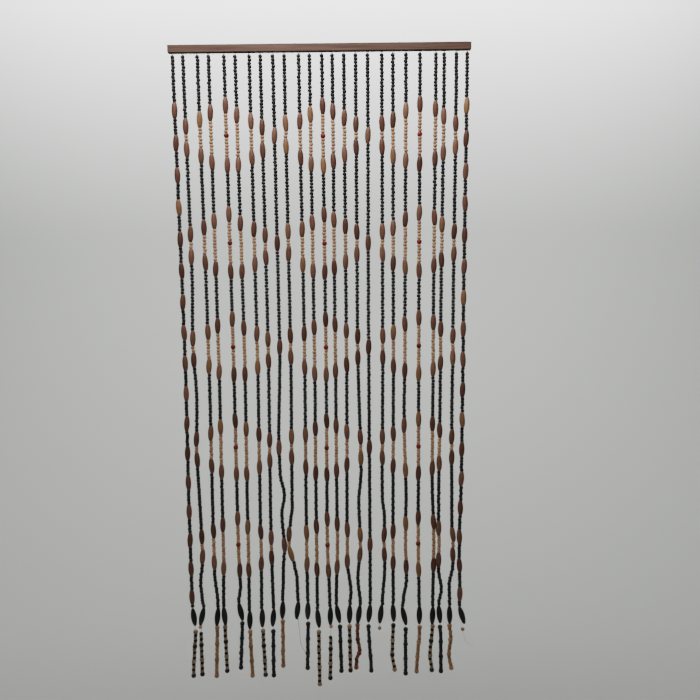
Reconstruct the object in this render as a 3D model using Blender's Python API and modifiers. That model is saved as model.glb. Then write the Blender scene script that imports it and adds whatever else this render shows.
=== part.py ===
"""A bead curtain on its header rail: a wooden bar, a screw eye for each strand, and the strands.

The strands are one comb. A thin bar under the eyes joins them, and each tooth is one strand, which
is as thick as its small beads and swells at each long oval bead. Metres, +Z up, +X to the right as
seen from the front. The origin is the centre of the rail's back face, which lies against a wall.
"""

import math

import bmesh
import bpy

# The header rail
RAIL_WIDTH = 0.900
RAIL_HEIGHT = 0.022
RAIL_DEPTH = 0.020
RAIL_EDGE = 0.0012

# The screw eyes, each a ring that stands under the rail and faces the front
EYE_RADIUS = 0.0025
EYE_WIRE_RADIUS = 0.0006
GAP = 0.0003

# The beads. A run of small beads is a rod of their radius in the comb.
BEAD_PITCH = 0.0097
BEAD_RADIUS = 0.0058
OVAL_LENGTH = 5 * BEAD_PITCH
OVAL_RADIUS = 0.0087
BLACK_OVAL_LENGTH = 0.062
BLACK_OVAL_RADIUS = 0.0087
# The least distance from a black oval's foot to the place where its strand's tail is stated
LAST_KNOT = 0.002

# The comb's bar, and its teeth: five sides, drawn a little wider than the circle that they stand for
BAR_HEIGHT = 0.002
BAR_DEPTH = 0.004
TOOTH_SIDES = 5
TOOTH_SCALE = 1.08

# The pattern: rows of diamonds. Depths are measured down from the rail's underside.
FIRST_ROW = 0.238
ROW_PITCH = 33 * BEAD_PITCH
ROWS = 5
DIAMOND_CENTRES = (5, 13, 21)
# Small beads between a strand's two ovals in each row, by its distance from the diamond's centre
BEADS_BETWEEN_OVALS = (13, 10, 6, 2)
BORDER_OVALS = 17
BORDER_FIRST = 0.161
BORDER_PITCH = 0.0957

# A row for each strand, in millimetres. top is its place on the rail, from the middle. mid, low, foot
# and tail are its drift from plumb at the third and fifth rows of diamonds, at its black oval and at its
# lower end, whose depth is end. Its rows hang drop below the pattern's. oval is the depth of the centre
# of its black oval, and slant that oval's lean from plumb in degrees, with its foot to the right.
STRAND_COLUMNS = ("top", "mid", "low", "foot", "tail", "end", "drop", "oval", "slant")
STRANDS = (
    (-437, 4, -2, 1, -7, 1973, 3, 1764, 7),
    (-406, -1, 5, -3, -9, 1968, 7, 1762, -11),
    (-363, 4, 0, 4, -5, 1974, 7, 1763, -4),
    (-330, 2, -2, -6, -3, 1957, 7, 1761, 2),
    (-284, 2, 0, 1, -3, 1946, 1, 1747, 8),
    (-251, 4, -1, -3, 1, 1974, 15, 1775, 0),
    (-209, 2, -2, -4, 2, 1972, 13, 1769, 2),
    (-176, 3, -2, -1, -4, 1974, 12, 1768, -2),
    (-139, 2, 3, -7, -9, 1940, 3, 1742, -1),
    (-105, 2, -16, 7, 9, 1776, 1, 1743, -4),
    (-62, 2, -2, -2, -6, 1949, 15, 1745, 0),
    (-30, 1, -2, -1, 1, 2006, 15, 1772, 3),
    (7, 0, -4, 2, -1, 1985, 5, 1764, 2),
    (38, -2, -3, -4, 5, 1960, 7, 1757, 12),
    (72, -1, -5, 0, 1, 1959, 7, 1758, -2),
    (107, -1, 2, -5, -15, 1949, 5, 1759, -9),
    (143, -3, -3, -7, -2, 1960, 5, 1756, -6),
    (185, -1, 0, -12, -16, 1812, 5, 1759, -10),
    (218, -1, -4, -4, 0, 1957, 14, 1755, 0),
    (257, -4, -3, -8, -3, 1971, 7, 1766, 10),
    (299, -3, -4, 0, -9, 1964, 3, 1763, 2),
    (346, -5, -1, -4, -6, 1960, 3, 1765, 0),
    (371, -7, -9, -7, -1, 1964, 5, 1761, 3),
    (407, -5, 0, -10, -3, 1953, 7, 1763, 0),
    (439, -5, -12, -2, 2, 1816, -1, 1765, 16),
)
# Where a strand bends between those places: strand number to (depth, drift), in millimetres
SWINGS = {
    2: ((660, 4), (1040, 5), (1200, -1), (1570, 5), (1650, -4), (1700, -1)),
    3: ((1610, -1), (1720, 7)),
    5: ((1660, 3), (1715, -4)),
    9: ((1200, -7), (1290, -5), (1356, 7), (1420, -3), (1640, -3)),
    10: ((1400, -3), (1440, -9), (1485, -15), (1555, -10), (1585, 0), (1640, 8)),
    14: ((1725, -9), (1795, 2)),
    15: ((1580, -6), (1680, 5)),
    16: ((1280, 6), (1380, -2), (1640, -7), (1720, 0), (1840, -10), (1885, -3), (1915, -14)),
    18: ((1360, -5), (1440, 2), (1600, 2)),
    19: ((1900, -8),),
    20: ((1120, -7), (1360, -1), (1640, 0), (1715, -10), (1830, -3)),
    22: ((1300, -7), (1900, -12)),
    23: ((1440, -11), (1600, -11), (1680, -1), (1720, -8), (1840, -2)),
    24: ((1120, -7), (1440, -5), (1600, -1), (1660, -12), (1840, -6), (1900, -11)),
    25: ((1280, -7), (1700, -9)),
}

STRAND_Y = -RAIL_DEPTH / 2
UNDERSIDE_Z = -RAIL_HEIGHT / 2
BAR_TOP = 2 * GAP + 2 * (EYE_RADIUS + EYE_WIRE_RADIUS)
MM = 0.001


def add_material(name, colour, roughness, metallic=0.0):
    material = bpy.data.materials.new(name)
    material.use_nodes = True
    shader = material.node_tree.nodes["Principled BSDF"]
    shader.inputs["Base Color"].default_value = (*colour, 1.0)
    shader.inputs["Roughness"].default_value = roughness
    shader.inputs["Metallic"].default_value = metallic
    return material


def add_object(name, data, collection, parent, material):
    obj = bpy.data.objects.new(name, data)
    collection.objects.link(obj)
    obj.parent = parent
    obj.data.materials.append(material)
    return obj


def add_collection(name):
    collection = bpy.data.collections.new(name)
    bpy.context.scene.collection.children.link(collection)
    return collection


def strand_row(number):
    return dict(zip(STRAND_COLUMNS, STRANDS[number - 1]))


def row_depths():
    return [FIRST_ROW + ROW_PITCH * row for row in range(ROWS)]


def black_oval(number):
    """The depths of the top, centre and foot of a strand's black oval."""
    centre = strand_row(number)["oval"] * MM
    return centre - BLACK_OVAL_LENGTH / 2, centre, centre + BLACK_OVAL_LENGTH / 2


def drift_knots(number):
    """(depth, drift from plumb) where a strand's drift is stated, in metres, from the top down."""
    strand = strand_row(number)
    rows = row_depths()
    top, _, foot = black_oval(number)
    lean = math.sin(math.radians(strand["slant"])) * BLACK_OVAL_LENGTH / 2
    knots = [
        (0.0, 0.0),
        (rows[2], strand["mid"] * MM),
        (rows[4], strand["low"] * MM),
        (top, strand["foot"] * MM - lean),
        (foot, strand["foot"] * MM + lean),
        (max(strand["end"] * MM, foot + LAST_KNOT), strand["tail"] * MM),
    ]
    knots += [(depth * MM, drift * MM) for depth, drift in SWINGS.get(number, ())]
    return sorted(knots)


def drift_at(number, depth):
    """How far a strand hangs to the right of plumb at a depth, eased from knot to knot."""
    knots = drift_knots(number)
    for (upper, start), (lower, finish) in zip(knots, knots[1:]):
        if depth <= lower:
            t = (depth - upper) / (lower - upper)
            return start + (finish - start) * t * t * (3 - 2 * t)
    return knots[-1][1]


def oval_depths(number):
    """The depths of the centres of a strand's brown ovals."""
    drop = strand_row(number)["drop"] * MM
    if number in (1, len(STRANDS)):
        return [drop + BORDER_FIRST + BORDER_PITCH * n for n in range(BORDER_OVALS)]
    away = min(abs(number - centre) for centre in DIAMOND_CENTRES)
    if away >= len(BEADS_BETWEEN_OVALS):
        return [drop + depth for depth in row_depths()]
    reach = (BEADS_BETWEEN_OVALS[away] * BEAD_PITCH + OVAL_LENGTH) / 2
    return [drop + depth + side * reach for depth in row_depths() for side in (-1, 1)]


def tooth_sections(number):
    """(depth, radius) of each section of a strand's tooth, from the comb's bar down."""
    top, centre, foot = black_oval(number)
    ovals = [(depth, OVAL_LENGTH, OVAL_RADIUS) for depth in oval_depths(number)]
    ovals.append((centre, BLACK_OVAL_LENGTH, BLACK_OVAL_RADIUS))
    sections = [(BAR_TOP + BAR_HEIGHT / 2, BEAD_RADIUS)]
    for depth, length, radius in ovals:
        sections.append((depth - length / 2, BEAD_RADIUS))
        sections.append((depth, radius))
        sections.append((depth + length / 2, BEAD_RADIUS))
    end = strand_row(number)["end"] * MM
    if end > foot:
        sections.append((end, BEAD_RADIUS))
    for depth, _ in SWINGS.get(number, ()):
        if all(abs(depth * MM - oval) > length / 2 for oval, length, _ in ovals):
            sections.append((depth * MM, BEAD_RADIUS))
    return sorted(sections)


def strand_point(number, depth):
    x = strand_row(number)["top"] * MM + drift_at(number, depth)
    return x, STRAND_Y, UNDERSIDE_Z - depth


def section_circle(helpers):
    """The outline of a tooth, of radius 1: a guide for the curves, not a part."""
    outline = bpy.data.curves.new("tooth_outline", "CURVE")
    spline = outline.splines.new("POLY")
    spline.points.add(TOOTH_SIDES - 1)
    spline.use_cyclic_u = True
    for side, point in enumerate(spline.points):
        angle = 2 * math.pi * side / TOOTH_SIDES
        point.co = (math.cos(angle), math.sin(angle), 0, 1)
    guide = bpy.data.objects.new("tooth_outline", outline)
    guide.hide_render = True
    guide.display_type = "WIRE"
    helpers.objects.link(guide)
    return guide


def teeth_curve(outline):
    """All the strands as one curve with a spline for each, its radius that of the beads."""
    curve = bpy.data.curves.new("teeth", "CURVE")
    curve.dimensions = "3D"
    curve.bevel_mode = "OBJECT"
    curve.bevel_object = outline
    curve.use_fill_caps = True
    for number in range(1, len(STRANDS) + 1):
        sections = tooth_sections(number)
        spline = curve.splines.new("POLY")
        spline.points.add(len(sections) - 1)
        for point, (depth, radius) in zip(spline.points, sections):
            point.co = (*strand_point(number, depth), 1)
            point.radius = radius * TOOTH_SCALE
    return curve


def make_teeth(helpers):
    """The teeth as a closed mesh that the comb's bar can be joined to."""
    curve = bpy.data.objects.new("teeth_curve", teeth_curve(section_circle(helpers)))
    helpers.objects.link(curve)
    bpy.context.view_layer.update()
    graph = bpy.context.evaluated_depsgraph_get()
    mesh = bpy.data.meshes.new_from_object(curve.evaluated_get(graph))
    bpy.data.objects.remove(curve)
    welded = bmesh.new()
    welded.from_mesh(mesh)
    bmesh.ops.remove_doubles(welded, verts=welded.verts, dist=1e-5)
    bmesh.ops.recalc_face_normals(welded, faces=welded.faces)
    welded.to_mesh(mesh)
    welded.free()
    teeth = bpy.data.objects.new("teeth", mesh)
    teeth.hide_render = True
    teeth.display_type = "WIRE"
    helpers.objects.link(teeth)
    return teeth


def box_mesh(name, width, depth, height):
    """A box centred on its own origin, with its size in its mesh."""
    mesh = bpy.data.meshes.new(name)
    box = bmesh.new()
    bmesh.ops.create_cube(box, size=1.0)
    bmesh.ops.scale(box, vec=(width, depth, height), verts=box.verts)
    box.to_mesh(mesh)
    box.free()
    return mesh


def make_rail(parts, curtain, material):
    rail = add_object(
        "header_rail",
        box_mesh("header_rail", RAIL_WIDTH, RAIL_DEPTH, RAIL_HEIGHT),
        parts,
        curtain,
        material,
    )
    rail.location = (0, -RAIL_DEPTH / 2, 0)
    edges = rail.modifiers.new("rounded_edges", "BEVEL")
    edges.width = RAIL_EDGE
    edges.segments = 2


def make_comb(parts, helpers, curtain, material):
    first, last = strand_row(1)["top"] * MM, strand_row(len(STRANDS))["top"] * MM
    comb = add_object(
        "strand_comb",
        box_mesh("comb_bar", last - first, BAR_DEPTH, BAR_HEIGHT),
        parts,
        curtain,
        material,
    )
    comb.location = ((first + last) / 2, STRAND_Y, UNDERSIDE_Z - BAR_TOP - BAR_HEIGHT / 2)
    join = comb.modifiers.new("teeth", "BOOLEAN")
    join.operation = "UNION"
    join.object = make_teeth(helpers)


def make_screw_eyes(parts, curtain, material):
    bpy.ops.mesh.primitive_torus_add(
        major_radius=EYE_RADIUS,
        minor_radius=EYE_WIRE_RADIUS,
        major_segments=12,
        minor_segments=5,
    )
    pattern = bpy.context.active_object
    ring = pattern.data
    ring.shade_smooth()
    ring.materials.append(material)
    bpy.data.objects.remove(pattern)
    for number in range(1, len(STRANDS) + 1):
        eye = bpy.data.objects.new(f"screw_eye_{number:02d}", ring)
        parts.objects.link(eye)
        eye.parent = curtain
        eye.rotation_euler = (math.pi / 2, 0, 0)
        eye.location = strand_point(number, GAP + EYE_RADIUS + EYE_WIRE_RADIUS)


def main():
    for obj in list(bpy.data.objects):
        bpy.data.objects.remove(obj)
    parts = add_collection("bead_curtain")
    helpers = add_collection("helpers")
    curtain = bpy.data.objects.new("curtain", None)
    parts.objects.link(curtain)
    wood = add_material("brown_wood", (0.125, 0.072, 0.056), 0.45)
    beads = add_material("dark_beads", (0.024, 0.023, 0.025), 0.40)
    steel = add_material("dark_steel", (0.12, 0.10, 0.09), 0.4, metallic=1.0)
    make_rail(parts, curtain, wood)
    make_comb(parts, helpers, curtain, beads)
    make_screw_eyes(parts, curtain, steel)


main()
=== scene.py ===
"""The looks of a bead curtain: a varnished rail, its screw eyes, and 25 threaded strands of wooden beads.

Each strand is one hanging cord, and the beads threaded on it are joined into one piece for each
finish. Every bead is a turned shape with a hole through it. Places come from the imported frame; a
strand's drift and length repeat the model's own.
"""

import math
import random

import bpy
from mathutils import Matrix, Vector


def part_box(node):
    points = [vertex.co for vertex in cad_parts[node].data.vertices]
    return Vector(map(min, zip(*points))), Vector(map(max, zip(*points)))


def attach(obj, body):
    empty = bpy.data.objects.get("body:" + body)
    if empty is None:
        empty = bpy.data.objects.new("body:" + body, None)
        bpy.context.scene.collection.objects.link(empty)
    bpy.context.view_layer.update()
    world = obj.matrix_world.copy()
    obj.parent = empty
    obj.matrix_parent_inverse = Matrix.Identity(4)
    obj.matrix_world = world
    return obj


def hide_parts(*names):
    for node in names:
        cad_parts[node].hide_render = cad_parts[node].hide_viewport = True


MM = 0.001

# The strands' route and pattern, as in the model. Depths are measured down from the rail's underside.
BEAD_PITCH = 0.0097
OVAL_LENGTH = 5 * BEAD_PITCH
BLACK_OVAL_LENGTH = 0.062
LAST_KNOT = 0.002
FIRST_ROW = 0.238
ROW_PITCH = 33 * BEAD_PITCH
ROWS = 5
DIAMOND_CENTRES = (5, 13, 21)
BEADS_BETWEEN_OVALS = (13, 10, 6, 2)
BORDER_OVALS = 17
BORDER_FIRST = 0.161
BORDER_PITCH = 0.0957

# Turned beads: the hole, the radii, and the length of a small bead, which leaves a hair of thread
HOLE_RADIUS = 0.0009
SMALL_RADIUS = 0.0064
SMALL_LENGTH = 0.0096
RED_RADIUS = 0.0080
RED_LENGTH = 0.0140
LARGE_RADIUS = 0.0079
LARGE_LENGTH = 0.0130
OVAL_RADIUS = 0.0093
OVAL_END_RADIUS = 0.0056
BLACK_OVAL_RADIUS = 0.0096
BLACK_OVAL_END_RADIUS = 0.0042
ROUND_SEGMENTS = 12
# Under 1, a round bead is a barrel; at 1 it is an ellipse
FULLNESS = 0.4
OVAL_SEGMENTS = 16
# An oval's belly swells faster than a cosine under 1. Its rim is rounded by OVAL_EDGE.
OVAL_FULLNESS = 0.78
OVAL_EDGE = 0.0007
# How much shorter than its stretch of thread a long bead is
OVAL_SLACK = 0.0004
BLACK_OVAL_SLACK = 0.001
# Edges sharper than these stay hard in the shading
BEAD_CREASE = math.radians(55)
EYE_CREASE = math.radians(50)

# The thread, its knots, and where the first bead starts under the rail
THREAD_DIAMETER = 0.0012
THREAD_POINTS = 40
KNOT_RADIUS = 0.0015
KNOT_LENGTH = 0.0030
KNOT_SEGMENTS = 10
KNOT_TILT = 0.2
FIRST_BEAD = 0.0068

# Screw eyes, as fine rings in place of the model's coarse ones
EYE_RADIUS = 0.0025
EYE_WIRE_RADIUS = 0.0006
SHANK_RADIUS = 1.1 * EYE_WIRE_RADIUS
SHANK_IN_RAIL = 0.002

# A row for each strand, in millimetres as in the model: mid, low, foot and tail are its drift from
# plumb at the third and fifth rows of diamonds, at its black oval and at its lower end, whose depth is
# end. Its rows hang drop below the pattern's, and oval is the depth of its black oval's centre. slant is
# that oval's lean from plumb in degrees, its foot to the right, and tassel the beads that hang under it.
STRAND_COLUMNS = ("mid", "low", "foot", "tail", "end", "drop", "oval", "slant", "tassel")
STRANDS = (
    (4, -2, 1, -7, 1973, 3, 1764, 7, "mixed"),
    (-1, 5, -3, -9, 1968, 7, 1762, -11, "hung low"),
    (4, 0, 4, -5, 1974, 7, 1763, -4, "tan"),
    (2, -2, -6, -3, 1957, 7, 1761, 2, "mixed"),
    (2, 0, 1, -3, 1946, 1, 1747, 8, "black"),
    (4, -1, -3, 1, 1974, 15, 1775, 0, "tan"),
    (2, -2, -4, 2, 1972, 13, 1769, 2, "mixed"),
    (3, -2, -1, -4, 1974, 12, 1768, -2, "black"),
    (2, 3, -7, -9, 1940, 3, 1742, -1, "tan"),
    (2, -16, 7, 9, 1776, 1, 1743, -4, "none"),
    (2, -2, -2, -6, 1949, 15, 1745, 0, "black"),
    (1, -2, -1, 1, 2006, 15, 1772, 3, "mixed"),
    (0, -4, 2, -1, 1985, 5, 1764, 2, "hung low"),
    (-2, -3, -4, 5, 1960, 7, 1757, 12, "black"),
    (-1, -5, 0, 1, 1959, 7, 1758, -2, "mixed"),
    (-1, 2, -5, -15, 1949, 5, 1759, -9, "reddish"),
    (-3, -3, -7, -2, 1960, 5, 1756, -6, "black"),
    (-1, 0, -12, -16, 1812, 5, 1759, -10, "one tan bead"),
    (-1, -4, -4, 0, 1957, 14, 1755, 0, "dark first"),
    (-4, -3, -8, -3, 1971, 7, 1766, 10, "black"),
    (-3, -4, 0, -9, 1964, 3, 1763, 2, "tan"),
    (-5, -1, -4, -6, 1960, 3, 1765, 0, "mixed"),
    (-7, -9, -7, -1, 1964, 5, 1761, 3, "black"),
    (-5, 0, -10, -3, 1953, 7, 1763, 0, "tan"),
    (-5, -12, -2, 2, 1816, -1, 1765, 16, "one tan bead"),
)
# Where a strand bends between those places: strand number to (depth, drift), in millimetres
SWINGS = {
    2: ((660, 4), (1040, 5), (1200, -1), (1570, 5), (1650, -4), (1700, -1)),
    3: ((1610, -1), (1720, 7)),
    5: ((1660, 3), (1715, -4)),
    9: ((1200, -7), (1290, -5), (1356, 7), (1420, -3), (1640, -3)),
    10: ((1400, -3), (1440, -9), (1485, -15), (1555, -10), (1585, 0), (1640, 8)),
    14: ((1725, -9), (1795, 2)),
    15: ((1580, -6), (1680, 5)),
    16: ((1280, 6), (1380, -2), (1640, -7), (1720, 0), (1840, -10), (1885, -3), (1915, -14)),
    18: ((1360, -5), (1440, 2), (1600, 2)),
    19: ((1900, -8),),
    20: ((1120, -7), (1360, -1), (1640, 0), (1715, -10), (1830, -3)),
    22: ((1300, -7), (1900, -12)),
    23: ((1440, -11), (1600, -11), (1680, -1), (1720, -8), (1840, -2)),
    24: ((1120, -7), (1440, -5), (1600, -1), (1660, -12), (1840, -6), (1900, -11)),
    25: ((1280, -7), (1700, -9)),
}

# Where a thread runs on past its last bead: its length there, and how far its end swings aside
LOOSE_THREADS = {10: (0.118, 0.023), 25: (0.050, 0.030)}
LOOSE_POINTS = 12
PALE_THREADS = (25,)

# Uneven threading: how far a bead sits off the thread's line, how far small ones sit to alternate
# sides of it, how far a bead tips, how much of this play a larger bead has, and the seed of it all
BEAD_OFFSET = 0.0005
STAGGER = 0.0005
BEAD_TIP = math.radians(9)
LARGER_BEAD_PLAY = 0.4
SEED = 20

# The camera, from the rail's middle: off to the right, below it and in front, pitched down
CAMERA_PLACE = (0.089, -2.176, -0.652)
CAMERA_PITCH = math.radians(6.62)
CAMERA_YAW = math.radians(-0.19)
CAMERA_ROLL = math.radians(0.59)
CAMERA_LENS = 36.0
CAMERA_SENSOR = 36.0


# ---------------------------------------------------------------- the strands' lines


def strand_row(number):
    return dict(zip(STRAND_COLUMNS, STRANDS[number - 1]))


def row_depths():
    return [FIRST_ROW + ROW_PITCH * row for row in range(ROWS)]


def black_oval(number):
    """The depths of the top, centre and foot of a strand's black oval."""
    centre = strand_row(number)["oval"] * MM
    return centre - BLACK_OVAL_LENGTH / 2, centre, centre + BLACK_OVAL_LENGTH / 2


def drift_knots(number):
    """(depth, drift from plumb) where a strand's drift is stated, in metres, from the top down."""
    strand = strand_row(number)
    rows = row_depths()
    top, _, foot = black_oval(number)
    lean = math.sin(math.radians(strand["slant"])) * BLACK_OVAL_LENGTH / 2
    knots = [
        (0.0, 0.0),
        (rows[2], strand["mid"] * MM),
        (rows[4], strand["low"] * MM),
        (top, strand["foot"] * MM - lean),
        (foot, strand["foot"] * MM + lean),
        (max(strand["end"] * MM, foot + LAST_KNOT), strand["tail"] * MM),
    ]
    knots += [(depth * MM, drift * MM) for depth, drift in SWINGS.get(number, ())]
    return sorted(knots)


def drift_at(number, depth):
    """How far a strand hangs to the right of plumb at a depth, eased from knot to knot."""
    knots = drift_knots(number)
    for (upper, start), (lower, finish) in zip(knots, knots[1:]):
        if depth <= lower:
            t = (depth - upper) / (lower - upper)
            return start + (finish - start) * t * t * (3 - 2 * t)
    return knots[-1][1]


def strand_point(number, depth):
    low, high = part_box(f"screw_eye_{number:02d}")
    top = (low + high) / 2
    return Vector((top.x + drift_at(number, depth), top.y, underside_z() - depth))


def underside_z():
    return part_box("header_rail")[0].z


# ---------------------------------------------------------------- what is threaded on a strand


class Bead:
    """One bead: its finish, its turned outline, and the depth and length that it takes on the thread."""

    def __init__(self, finish, outline, depth, length):
        self.finish = finish
        self.outline = outline
        self.depth = depth
        self.length = length


def oval_depths(number):
    """The depths of the centres of a strand's brown ovals, and the finish of the run below each."""
    drop = strand_row(number)["drop"] * MM
    if number in (1, len(STRANDS)):
        first = drop + BORDER_FIRST
        return [(first + BORDER_PITCH * n, "black") for n in range(BORDER_OVALS)]
    away = min(abs(number - centre) for centre in DIAMOND_CENTRES)
    if away >= len(BEADS_BETWEEN_OVALS):
        return [(drop + depth, "black") for depth in row_depths()]
    reach = (BEADS_BETWEEN_OVALS[away] * BEAD_PITCH + OVAL_LENGTH) / 2
    inside = "tan and red" if away == 0 else "tan"
    found = []
    for depth in row_depths():
        found.append((drop + depth - reach, inside))
        found.append((drop + depth + reach, "black"))
    return found


def even_run(finish, upper, lower):
    """Small beads that fill a stretch of thread evenly."""
    count = max(round((lower - upper) / BEAD_PITCH), 1)
    step = (lower - upper) / count
    length = min(SMALL_LENGTH, step)
    return [Bead(finish, "small", upper + step * (n + 0.5), length) for n in range(count)]


def run_beads(finish, upper, lower):
    if finish != "tan and red":
        return even_run(finish, upper, lower)
    middle = (upper + lower) / 2
    red = Bead("red", "red", middle, RED_LENGTH)
    above = even_run("tan", upper, middle - RED_LENGTH / 2)
    return above + [red] + even_run("tan", middle + RED_LENGTH / 2, lower)


def main_beads(number):
    """A strand's beads from the rail down to its black oval."""
    beads = []
    upper = FIRST_BEAD
    finish = "black"
    for depth, below in oval_depths(number):
        beads += run_beads(finish, upper, depth - OVAL_LENGTH / 2)
        beads.append(Bead("oval", "oval", depth, OVAL_LENGTH - OVAL_SLACK))
        upper = depth + OVAL_LENGTH / 2
        finish = below
    top, centre, _ = black_oval(number)
    beads += even_run("black", upper, top)
    beads.append(Bead("black", "black oval", centre, BLACK_OVAL_LENGTH - BLACK_OVAL_SLACK))
    return beads


# The two finishes that each kind of tassel takes in turn
TASSEL_FINISHES = {
    "tan": ("tassel tan", "tassel tan"),
    "black": ("black", "black"),
    "mixed": ("brown", "black"),
    "dark first": ("black", "brown"),
    "hung low": ("black", "brown"),
    "reddish": ("reddish", "reddish"),
}
LARGE_IN_TASSEL = 4
TASSEL_PITCH = 0.0094
HUNG_BEAD_DEPTH = 0.017


def tassel_order(kind, room):
    """Which sizes of bead hang in a tassel, from the top down, in the room that it has."""
    gaps = LARGE_IN_TASSEL - 1
    if kind == "hung low":
        return (["small"] * 4 + ["large"]) * gaps
    between = round((room - LARGE_IN_TASSEL * LARGE_LENGTH) / gaps / TASSEL_PITCH)
    return ["large"] + (["small"] * between + ["large"]) * gaps


def tassel_beads(number):
    """The beads under a strand's black oval, stacked up from its lower end; bare thread fills the rest."""
    strand = strand_row(number)
    foot = black_oval(number)[2]
    end = strand["end"] * MM
    kind = strand["tassel"]
    if kind == "none":
        return []
    if kind == "one tan bead":
        return [Bead("brown", "small", foot + HUNG_BEAD_DEPTH, SMALL_LENGTH)]
    beads = []
    if kind == "hung low":
        beads.append(Bead("tan", "small", foot + SMALL_LENGTH / 2, SMALL_LENGTH))
    order = tassel_order(kind, end - foot)
    room = end - foot - order.count("large") * LARGE_LENGTH
    pitch = min(TASSEL_PITCH, room / order.count("small"))
    lengths = [LARGE_LENGTH if size == "large" else pitch for size in order]
    depth = end - sum(lengths)
    for place, (size, length) in enumerate(zip(order, lengths)):
        finish = TASSEL_FINISHES[kind][place % 2]
        beads.append(Bead(finish, size, depth + length / 2, length))
        depth += length
    return beads


def last_depth(beads):
    return max(bead.depth + bead.length / 2 for bead in beads)


# ---------------------------------------------------------------- turned shapes


def round_outline(radius, length, bands=7):
    """(radius, height) from the upper rim of the hole down the outside of a round bead."""
    first = math.asin((HOLE_RADIUS / radius) ** (1 / FULLNESS))
    outline = []
    for band in range(bands + 1):
        angle = first + (math.pi - 2 * first) * band / bands
        height = length / 2 * math.cos(angle) / math.cos(first)
        outline.append((radius * math.sin(angle) ** FULLNESS, height))
    return outline


def oval_outline(radius, end_radius, length, bands=10):
    """(radius, height) down the outside of a long bead, whose ends are flat and a little rounded."""
    half = length / 2
    outline = [(HOLE_RADIUS, half), (end_radius - OVAL_EDGE, half)]
    for band in range(bands + 1):
        t = 1 - 2 * band / bands
        belly = end_radius + (radius - end_radius) * math.cos(t * math.pi / 2) ** OVAL_FULLNESS
        outline.append((belly, t * (half - OVAL_EDGE)))
    outline += [(end_radius - OVAL_EDGE, -half), (HOLE_RADIUS, -half)]
    return outline


def outlines():
    """Each kind of bead's turned outline, and how many segments it is turned in."""
    oval = oval_outline(OVAL_RADIUS, OVAL_END_RADIUS, OVAL_LENGTH - OVAL_SLACK)
    black_length = BLACK_OVAL_LENGTH - BLACK_OVAL_SLACK
    black = oval_outline(BLACK_OVAL_RADIUS, BLACK_OVAL_END_RADIUS, black_length)
    return {
        "small": (round_outline(SMALL_RADIUS, SMALL_LENGTH), ROUND_SEGMENTS),
        "large": (round_outline(LARGE_RADIUS, LARGE_LENGTH), ROUND_SEGMENTS),
        "red": (round_outline(RED_RADIUS, RED_LENGTH, bands=8), OVAL_SEGMENTS),
        "oval": (oval, OVAL_SEGMENTS),
        "black oval": (black, OVAL_SEGMENTS),
    }


class TurnedMesh:
    """Collects turned rings as one mesh, with a tone for each point."""

    def __init__(self):
        self.points = []
        self.faces = []
        self.tones = []

    def add(self, outline, segments, place, tone):
        """One closed ring shape: the outline runs down the outside, and the hole joins its two ends."""
        start = len(self.points)
        rings = len(outline)
        for radius, height in outline:
            for segment in range(segments):
                angle = 2 * math.pi * segment / segments
                local = Vector((radius * math.cos(angle), radius * math.sin(angle), height))
                self.points.append(place @ local)
        for ring in range(rings):
            upper = start + ring * segments
            lower = start + (ring + 1) % rings * segments
            for segment in range(segments):
                after = (segment + 1) % segments
                face = (upper + segment, lower + segment, lower + after, upper + after)
                self.faces.append(face)
        self.tones += [tone] * (rings * segments)

    def to_object(self, name, material):
        mesh = bpy.data.meshes.new(name)
        mesh.from_pydata(self.points, [], self.faces)
        mesh.attributes.new("tone", "FLOAT", "POINT").data.foreach_set("value", self.tones)
        mesh.shade_smooth()
        mesh.set_sharp_from_angle(angle=BEAD_CREASE)
        mesh.materials.append(material)
        obj = bpy.data.objects.new(name, mesh)
        bpy.context.scene.collection.objects.link(obj)
        return obj


def bead_place(number, bead, rng):
    """Where a bead sits: on its thread, along it, a little off line and a little tipped."""
    reach = bead.length / 2
    above = strand_point(number, bead.depth - reach)
    below = strand_point(number, bead.depth + reach)
    along = (above - below).normalized()
    turn = Vector((0, 0, 1)).rotation_difference(along).to_matrix().to_4x4()
    small = bead.outline == "small"
    loose = 1.0 if small else LARGER_BEAD_PLAY
    tip = Matrix.Rotation(rng.uniform(-1, 1) * BEAD_TIP * loose, 4, "Y")
    nod = Matrix.Rotation(rng.uniform(-1, 1) * BEAD_TIP * loose, 4, "X")
    spin = Matrix.Rotation(rng.uniform(0, 2 * math.pi), 4, "Z")
    offset = Vector((rng.uniform(-1, 1), rng.uniform(-1, 1), 0)) * BEAD_OFFSET * loose
    if small:
        offset.x += math.copysign(STAGGER, math.sin(math.pi * (bead.depth / BEAD_PITCH + 0.5)))
    place = strand_point(number, bead.depth) + offset
    return Matrix.Translation(place) @ turn @ tip @ nod @ spin


# ---------------------------------------------------------------- materials


# How far the grain's noise moves on between a bead of tone 0 and one of tone 1
TONE_SHIFT = 40.0


def new_material(name, roughness, specular=0.5):
    material = bpy.data.materials.new(name)
    material.use_nodes = True
    shader = material.node_tree.nodes["Principled BSDF"]
    shader.inputs["Roughness"].default_value = roughness
    shader.inputs["Specular IOR Level"].default_value = specular
    return material, shader


def add_node(material, kind, **settings):
    node = material.node_tree.nodes.new(kind)
    for name, value in settings.items():
        setattr(node, name, value)
    return node


def link(material, output, target):
    material.node_tree.links.new(output, target)


def tone_output(material):
    return add_node(material, "ShaderNodeAttribute", attribute_name="tone").outputs["Fac"]


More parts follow.
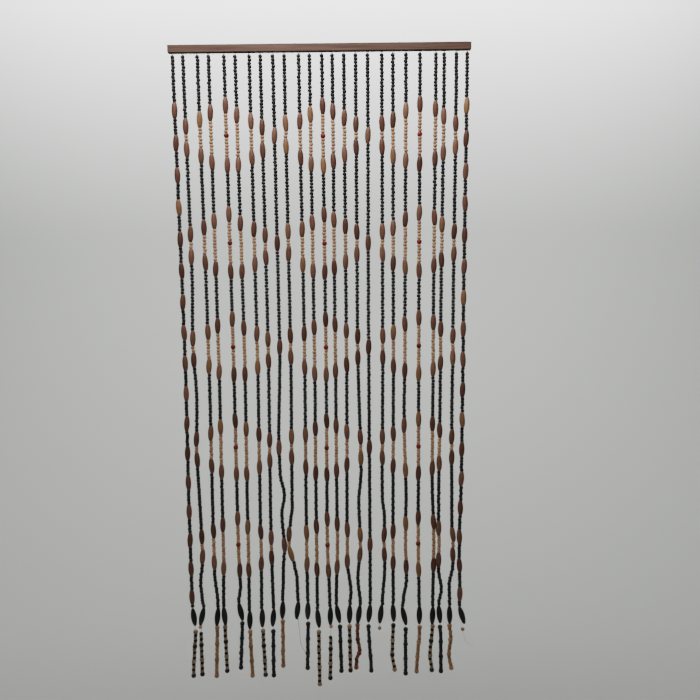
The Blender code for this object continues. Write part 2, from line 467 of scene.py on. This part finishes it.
def grain_output(material, stretch, scale, detail, tone=None):
    """Streaky noise along the grain: a stretched noise, moved along for each bead by its tone."""
    coordinates = add_node(material, "ShaderNodeTexCoord")
    mapping = add_node(material, "ShaderNodeMapping")
    mapping.inputs["Scale"].default_value = stretch
    link(material, coordinates.outputs["Object"], mapping.inputs["Vector"])
    noise = add_node(material, "ShaderNodeTexNoise", noise_dimensions="4D")
    noise.inputs["Scale"].default_value = scale
    noise.inputs["Detail"].default_value = detail
    noise.inputs["Roughness"].default_value = 0.6
    link(material, mapping.outputs["Vector"], noise.inputs["Vector"])
    if tone is not None:
        shift = add_node(material, "ShaderNodeMath", operation="MULTIPLY")
        shift.inputs[1].default_value = TONE_SHIFT
        link(material, tone, shift.inputs[0])
        link(material, shift.outputs[0], noise.inputs["W"])
    return noise.outputs["Fac"]


def ramp_output(material, factor, stops):
    """A colour ramp: stops are (position, (r, g, b)) rows."""
    ramp = add_node(material, "ShaderNodeValToRGB")
    elements = ramp.color_ramp.elements
    while len(elements) < len(stops):
        elements.new(0.5)
    for element, (position, colour) in zip(elements, stops):
        element.position = position
        element.color = (*colour, 1.0)
    link(material, factor, ramp.inputs["Fac"])
    return ramp.outputs["Color"]


def multiply_output(material, share, first, second):
    """The first colour darkened by the second, as far as share says."""
    mix = add_node(material, "ShaderNodeMix", data_type="RGBA", blend_type="MULTIPLY")
    mix.inputs["Factor"].default_value = share
    link(material, first, mix.inputs[6])
    link(material, second, mix.inputs[7])
    return mix.outputs[2]


def add_bump(material, shader, height, strength, distance):
    bump = add_node(material, "ShaderNodeBump")
    bump.inputs["Strength"].default_value = strength
    bump.inputs["Distance"].default_value = distance
    link(material, height, bump.inputs["Height"])
    link(material, bump.outputs["Normal"], shader.inputs["Normal"])


def varied_wood(name, tones, grain_dark, roughness):
    """Turned wood: a colour for each bead's tone, and darker streaks of grain along its length."""
    material, shader = new_material(name, roughness, specular=0.22)
    tone = tone_output(material)
    colour = ramp_output(material, tone, tones)
    grain = grain_output(material, (900, 900, 70), 1.0, 3.0, tone)
    streaks = ramp_output(material, grain, ((0.32, grain_dark), (0.62, (1.0, 1.0, 1.0))))
    link(material, multiply_output(material, 1.0, colour, streaks), shader.inputs["Base Color"])
    add_bump(material, shader, grain, 0.15, 0.0002)
    return material


def black_lacquer():
    """Near-black lacquer, a little browner on some beads."""
    material, shader = new_material("black_lacquer", 0.40, specular=0.10)
    tone = tone_output(material)
    colour = ramp_output(
        material,
        tone,
        ((0.0, (0.019, 0.018, 0.020)), (0.75, (0.025, 0.024, 0.027)), (1.0, (0.036, 0.030, 0.029))),
    )
    link(material, colour, shader.inputs["Base Color"])
    grain = grain_output(material, (700, 700, 90), 1.0, 2.0, tone)
    add_bump(material, shader, grain, 0.12, 0.0002)
    return material


def red_lacquer():
    """Dark red lacquer."""
    material, shader = new_material("red_lacquer", 0.3, specular=0.3)
    tone = tone_output(material)
    colour = ramp_output(material, tone, ((0.0, (0.15, 0.013, 0.015)), (1.0, (0.22, 0.020, 0.021))))
    link(material, colour, shader.inputs["Base Color"])
    grain = grain_output(material, (700, 700, 90), 1.0, 2.0, tone)
    add_bump(material, shader, grain, 0.1, 0.0002)
    return material


def rail_wood():
    """Red-brown stained wood with straight grain along the rail, under a satin varnish."""
    material, shader = new_material("rail_wood", 0.45, specular=0.2)
    fine = grain_output(material, (9, 420, 420), 1.0, 6.0)
    broad = grain_output(material, (2.2, 70, 70), 1.0, 3.0)
    base = ramp_output(
        material,
        broad,
        ((0.3, (0.085, 0.045, 0.034)), (0.55, (0.125, 0.072, 0.056)), (0.75, (0.17, 0.105, 0.085))),
    )
    streaks = ramp_output(material, fine, ((0.35, (0.45, 0.38, 0.36)), (0.6, (1.0, 1.0, 1.0))))
    link(material, multiply_output(material, 0.8, base, streaks), shader.inputs["Base Color"])
    add_bump(material, shader, fine, 0.25, 0.0003)
    return material


def rail_underside_painted_shade():
    """Painted shade for the rail's underside: a darker, duller wood colour, which stands in for the shade
    that it lies in.
    """
    material, shader = new_material("rail_underside_painted_shade", 0.7, specular=0.1)
    fine = grain_output(material, (9, 420, 420), 1.0, 6.0)
    colour = ramp_output(material, fine, ((0.3, (0.022, 0.012, 0.010)), (0.7, (0.050, 0.029, 0.023))))
    link(material, colour, shader.inputs["Base Color"])
    add_bump(material, shader, fine, 0.25, 0.0003)
    return material


def thread_material(name, hollow_painted_shade, raised):
    """Twisted cord: slanting plies from a wave across its length, in two tones, the darker one painted
    shade in the hollows between the plies.
    """
    material, shader = new_material(name, 0.75)
    coordinates = add_node(material, "ShaderNodeTexCoord")
    wave = add_node(material, "ShaderNodeTexWave", bands_direction="DIAGONAL")
    wave.inputs["Scale"].default_value = 700
    link(material, coordinates.outputs["Object"], wave.inputs["Vector"])
    colour = ramp_output(material, wave.outputs["Fac"], ((0.0, hollow_painted_shade), (1.0, raised)))
    link(material, colour, shader.inputs["Base Color"])
    add_bump(material, shader, wave.outputs["Fac"], 0.4, 0.0002)
    return material


def steel_material():
    """Dull, dark wire with lighter patches."""
    material, shader = new_material("eye_steel", 0.45)
    shader.inputs["Metallic"].default_value = 1.0
    patches = grain_output(material, (300, 300, 300), 1.0, 3.0)
    colour = ramp_output(
        material,
        patches,
        ((0.35, (0.022, 0.018, 0.016)), (0.65, (0.07, 0.06, 0.052))),
    )
    link(material, colour, shader.inputs["Base Color"])
    add_bump(material, shader, patches, 0.1, 0.0001)
    return material


def plain_stage(name, colour):
    material, shader = new_material(name, 0.9, specular=0.2)
    shader.inputs["Base Color"].default_value = (*colour, 1.0)
    return material


def make_materials():
    """Every material by what it is for. Ramp stops run from a bead of tone 0 to one of tone 1."""
    return {
        "black": black_lacquer(),
        "red": red_lacquer(),
        "oval": varied_wood(
            "brown_ovals",
            (
                (0.0, (0.112, 0.050, 0.037)),
                (0.45, (0.165, 0.079, 0.056)),
                (0.85, (0.21, 0.108, 0.074)),
                (1.0, (0.28, 0.155, 0.078)),
            ),
            (0.55, 0.48, 0.44),
            0.36,
        ),
        "tan": varied_wood(
            "tan_beads",
            (
                (0.0, (0.41, 0.23, 0.175)),
                (0.35, (0.41, 0.25, 0.14)),
                (1.0, (0.52, 0.34, 0.19)),
            ),
            (0.72, 0.64, 0.56),
            0.4,
        ),
        "tassel tan": varied_wood(
            "tassel_tan",
            ((0.0, (0.26, 0.14, 0.075)), (1.0, (0.42, 0.25, 0.13))),
            (0.65, 0.56, 0.50),
            0.4,
        ),
        "brown": varied_wood(
            "tassel_brown",
            ((0.0, (0.20, 0.13, 0.085)), (1.0, (0.34, 0.23, 0.14))),
            (0.6, 0.52, 0.48),
            0.4,
        ),
        "reddish": varied_wood(
            "tassel_reddish",
            ((0.0, (0.10, 0.026, 0.018)), (1.0, (0.30, 0.10, 0.055))),
            (0.6, 0.52, 0.48),
            0.4,
        ),
        "rail": rail_wood(),
        # Painted shade: the rail's underside in a darker colour than its front
        "rail painted shade": rail_underside_painted_shade(),
        # A thread's darker tone is painted shade in the hollows between its plies
        "thread": thread_material("dark_thread", (0.018, 0.013, 0.010), (0.075, 0.055, 0.040)),
        "pale thread": thread_material("pale_thread", (0.32, 0.28, 0.23), (0.62, 0.57, 0.49)),
        "steel": steel_material(),
    }


# ---------------------------------------------------------------- the pieces


# What each finish's piece is called, and the material slot that goes with that finish
FINISHES = {
    "black": ("black_beads", "black_beads"),
    "oval": ("brown_ovals", "brown_ovals"),
    "tan": ("tan_beads", "tan_beads"),
    "red": ("red_beads", "red_beads"),
    "tassel tan": ("tassel_beads", "tan_beads"),
    "brown": ("tassel_beads", "brown_ovals"),
    "reddish": ("tassel_beads", "brown_ovals"),
}


def make_bead_pieces(number, beads, materials, shapes):
    """The beads of one strand, joined into one piece for each finish."""
    rng = random.Random(SEED * 1000 + number)
    meshes = {}
    for bead in beads:
        outline, segments = shapes[bead.outline]
        mesh = meshes.setdefault(bead.finish, TurnedMesh())
        mesh.add(outline, segments, bead_place(number, bead, rng), rng.random())
    pieces = []
    for finish, mesh in meshes.items():
        label, slot = FINISHES[finish]
        piece = mesh.to_object(f"strand_{number:02d}_{label}", materials[finish])
        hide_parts("strand_comb")
        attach(piece, "root")
        pieces.append(piece)
    return pieces


def thread_points(number, lowest):
    """A thread's line, from the bottom of its eye down through its beads to its end."""
    top = EYE_RADIUS + 2 * EYE_WIRE_RADIUS
    if number not in LOOSE_THREADS:
        depths = [top + (lowest - top) * n / (THREAD_POINTS - 1) for n in range(THREAD_POINTS)]
        return [strand_point(number, depth) for depth in depths]
    loose, aside = LOOSE_THREADS[number]
    inside = THREAD_POINTS - LOOSE_POINTS
    depths = [top + (lowest - top) * n / (inside - 1) for n in range(inside)]
    points = [strand_point(number, depth) for depth in depths]
    last = points[-1]
    for n in range(1, LOOSE_POINTS + 1):
        t = n / LOOSE_POINTS
        wave = 0.25 * aside * math.sin(t * 2.2 * math.pi) * t
        points.append(last + Vector((aside * t * t + wave, -0.002 * math.sin(t * math.pi), -loose * t)))
    return points


def make_thread(number, beads, material):
    """A strand's thread, a cord that hangs from its eye and carries the strand's other pieces."""
    lowest = last_depth(beads) + KNOT_LENGTH
    points = thread_points(number, lowest)
    curve = bpy.data.curves.new(f"strand_{number:02d}_thread", "CURVE")
    curve.dimensions = "3D"
    curve.bevel_depth = THREAD_DIAMETER / 2
    curve.bevel_resolution = 2
    curve.use_fill_caps = True
    spline = curve.splines.new("POLY")
    spline.points.add(len(points) - 1)
    for control, point in zip(spline.points, points):
        control.co = (*point, 1)
    spline.use_smooth = True
    curve.materials.append(material)
    thread = bpy.data.objects.new(curve.name, curve)
    bpy.context.scene.collection.objects.link(thread)
    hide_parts("strand_comb")
    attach(thread, "root")


def knot_outline():
    """A knot as a turned lump with two wraps of thread round it."""
    outline = []
    bands = 10
    for band in range(bands + 1):
        t = band / bands
        body = math.sin(math.pi * (0.12 + 0.76 * t))
        wraps = 1 + 0.16 * math.cos(4 * math.pi * t)
        outline.append((KNOT_RADIUS * body * wraps, KNOT_LENGTH * (0.5 - t)))
    return outline


def make_knots(number, beads, material):
    """The knot that ties a strand to its eye, and the one that holds its last bead."""
    mesh = TurnedMesh()
    for depth in (FIRST_BEAD - KNOT_LENGTH / 2, last_depth(beads) + KNOT_LENGTH / 2):
        place = Matrix.Translation(strand_point(number, depth)) @ Matrix.Rotation(KNOT_TILT, 4, "Y")
        mesh.add(knot_outline(), KNOT_SEGMENTS, place, tone=0.5)
    knots = mesh.to_object(f"strand_{number:02d}_knots", material)
    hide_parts("strand_comb")
    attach(knots, "root")
    return knots


def make_strand(number, materials, shapes):
    """One whole strand. Returns how many beads it has."""
    beads = main_beads(number) + tassel_beads(number)
    pieces = make_bead_pieces(number, beads, materials, shapes)
    pieces.append(make_knots(number, beads, materials["thread"]))
    thread = "pale thread" if number in PALE_THREADS else "thread"
    make_thread(number, beads, materials[thread])
    return len(beads)


def make_screw_eye(number, material):
    """A wire ring on a short shank that goes up into the rail."""
    low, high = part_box(f"screw_eye_{number:02d}")
    centre = (low + high) / 2
    bpy.ops.mesh.primitive_torus_add(
        major_radius=EYE_RADIUS,
        minor_radius=EYE_WIRE_RADIUS,
        major_segments=28,
        minor_segments=10,
        location=centre,
        rotation=(math.pi / 2, 0, 0),
    )
    ring = bpy.context.active_object
    shank_top = underside_z() + SHANK_IN_RAIL
    shank_foot = high.z - EYE_WIRE_RADIUS
    bpy.ops.mesh.primitive_cylinder_add(
        vertices=12,
        radius=SHANK_RADIUS,
        depth=shank_top - shank_foot,
        location=(centre.x, centre.y, (shank_top + shank_foot) / 2),
    )
    shank = bpy.context.active_object
    ring.select_set(True)
    shank.select_set(True)
    bpy.context.view_layer.objects.active = ring
    bpy.ops.object.join()
    ring.name = f"eye_{number:02d}"
    ring.data.name = ring.name
    bpy.ops.object.transform_apply(location=True, rotation=True, scale=True)
    ring.data.shade_smooth()
    ring.data.set_sharp_from_angle(angle=EYE_CREASE)
    ring.data.materials.clear()
    ring.data.materials.append(material)
    ring.select_set(False)
    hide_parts(f"screw_eye_{number:02d}")
    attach(ring, "root")


def dress_rail(rail, materials):
    """The model's rail in its wood, with painted shade, a darker wood colour, on the faces that look down.
    """
    rail.data.materials.clear()
    rail.data.materials.append(materials["rail"])
    rail.data.materials.append(materials["rail painted shade"])
    for face in rail.data.polygons:
        # Faces that look down take the painted shade
        face.material_index = 1 if face.normal.z < -0.7 else 0


def make_stage():
    """A pale floor that sweeps up into a backdrop well behind the curtain."""
    floor_z = -2.55
    sweep_start = 1.2
    sweep_radius = 2.2
    half_width = 9.0
    profile = [(-9.0, floor_z), (sweep_start, floor_z)]
    for step in range(1, 17):
        angle = math.pi / 2 * step / 16
        y = sweep_start + sweep_radius * math.sin(angle)
        profile.append((y, floor_z + sweep_radius * (1 - math.cos(angle))))
    profile.append((profile[-1][0], 5.0))
    points = []
    for y, z in profile:
        points += [(-half_width, y, z), (half_width, y, z)]
    faces = [(2 * n, 2 * n + 1, 2 * n + 3, 2 * n + 2) for n in range(len(profile) - 1)]
    mesh = bpy.data.meshes.new("stage")
    mesh.from_pydata(points, [], faces)
    mesh.shade_smooth()
    mesh.materials.append(plain_stage("stage_paint", (0.55, 0.558, 0.545)))
    stage = bpy.data.objects.new("stage", mesh)
    bpy.context.scene.collection.objects.link(stage)


def add_area_light(name, place, target, size, power, colour):
    light = bpy.data.lights.new(name, "AREA")
    light.shape = "RECTANGLE"
    light.size, light.size_y = size
    light.energy = power
    light.color = colour
    obj = bpy.data.objects.new(name, light)
    obj.location = place
    obj.rotation_euler = (Vector(target) - Vector(place)).to_track_quat("-Z", "Y").to_euler()
    bpy.context.scene.collection.objects.link(obj)


def make_lights():
    """A soft lamp close over the rail, so that the light fades down the strands, and one for the stage."""
    world = bpy.data.worlds.new("pale_room")
    world.use_nodes = True
    background = world.node_tree.nodes["Background"]
    background.inputs["Color"].default_value = (0.92, 0.90, 0.88, 1.0)
    background.inputs["Strength"].default_value = 0.17
    bpy.context.scene.world = world
    add_area_light("ceiling", (-0.2, -0.8, 0.75), (0, 0, -0.5), (1.4, 0.7), 38, (1.0, 0.95, 0.90))
    add_area_light("front", (0.6, -3.6, 0.6), (0, 0, -1.0), (2.4, 1.6), 2, (1.0, 0.94, 0.88))
    add_area_light("stage_lamp", (0, 2.1, 2.3), (0, 3.4, 1.9), (6.0, 0.8), 540, (0.96, 1.0, 0.98))


def make_camera():
    camera = bpy.data.cameras.new("camera")
    camera.lens = CAMERA_LENS
    camera.sensor_width = CAMERA_SENSOR
    obj = bpy.data.objects.new("camera", camera)
    turn = Matrix.Rotation(-CAMERA_YAW, 4, "Z") @ Matrix.Rotation(math.pi / 2 - CAMERA_PITCH, 4, "X")
    obj.matrix_world = Matrix.Translation(CAMERA_PLACE) @ turn @ Matrix.Rotation(-CAMERA_ROLL, 4, "Z")
    bpy.context.scene.collection.objects.link(obj)
    bpy.context.scene.camera = obj


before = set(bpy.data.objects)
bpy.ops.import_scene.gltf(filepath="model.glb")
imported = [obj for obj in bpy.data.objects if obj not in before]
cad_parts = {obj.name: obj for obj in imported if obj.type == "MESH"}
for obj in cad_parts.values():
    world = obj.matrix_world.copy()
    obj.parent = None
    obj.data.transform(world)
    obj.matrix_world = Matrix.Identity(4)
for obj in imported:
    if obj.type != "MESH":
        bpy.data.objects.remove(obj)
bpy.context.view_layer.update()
make_camera()
materials = make_materials()
shapes = outlines()
bead_count = sum(make_strand(number, materials, shapes) for number in range(1, len(STRANDS) + 1))
print("beads:", bead_count)
for number in range(1, len(STRANDS) + 1):
    make_screw_eye(number, materials["steel"])
dress_rail(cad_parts["header_rail"], materials)
make_stage()
make_lights()
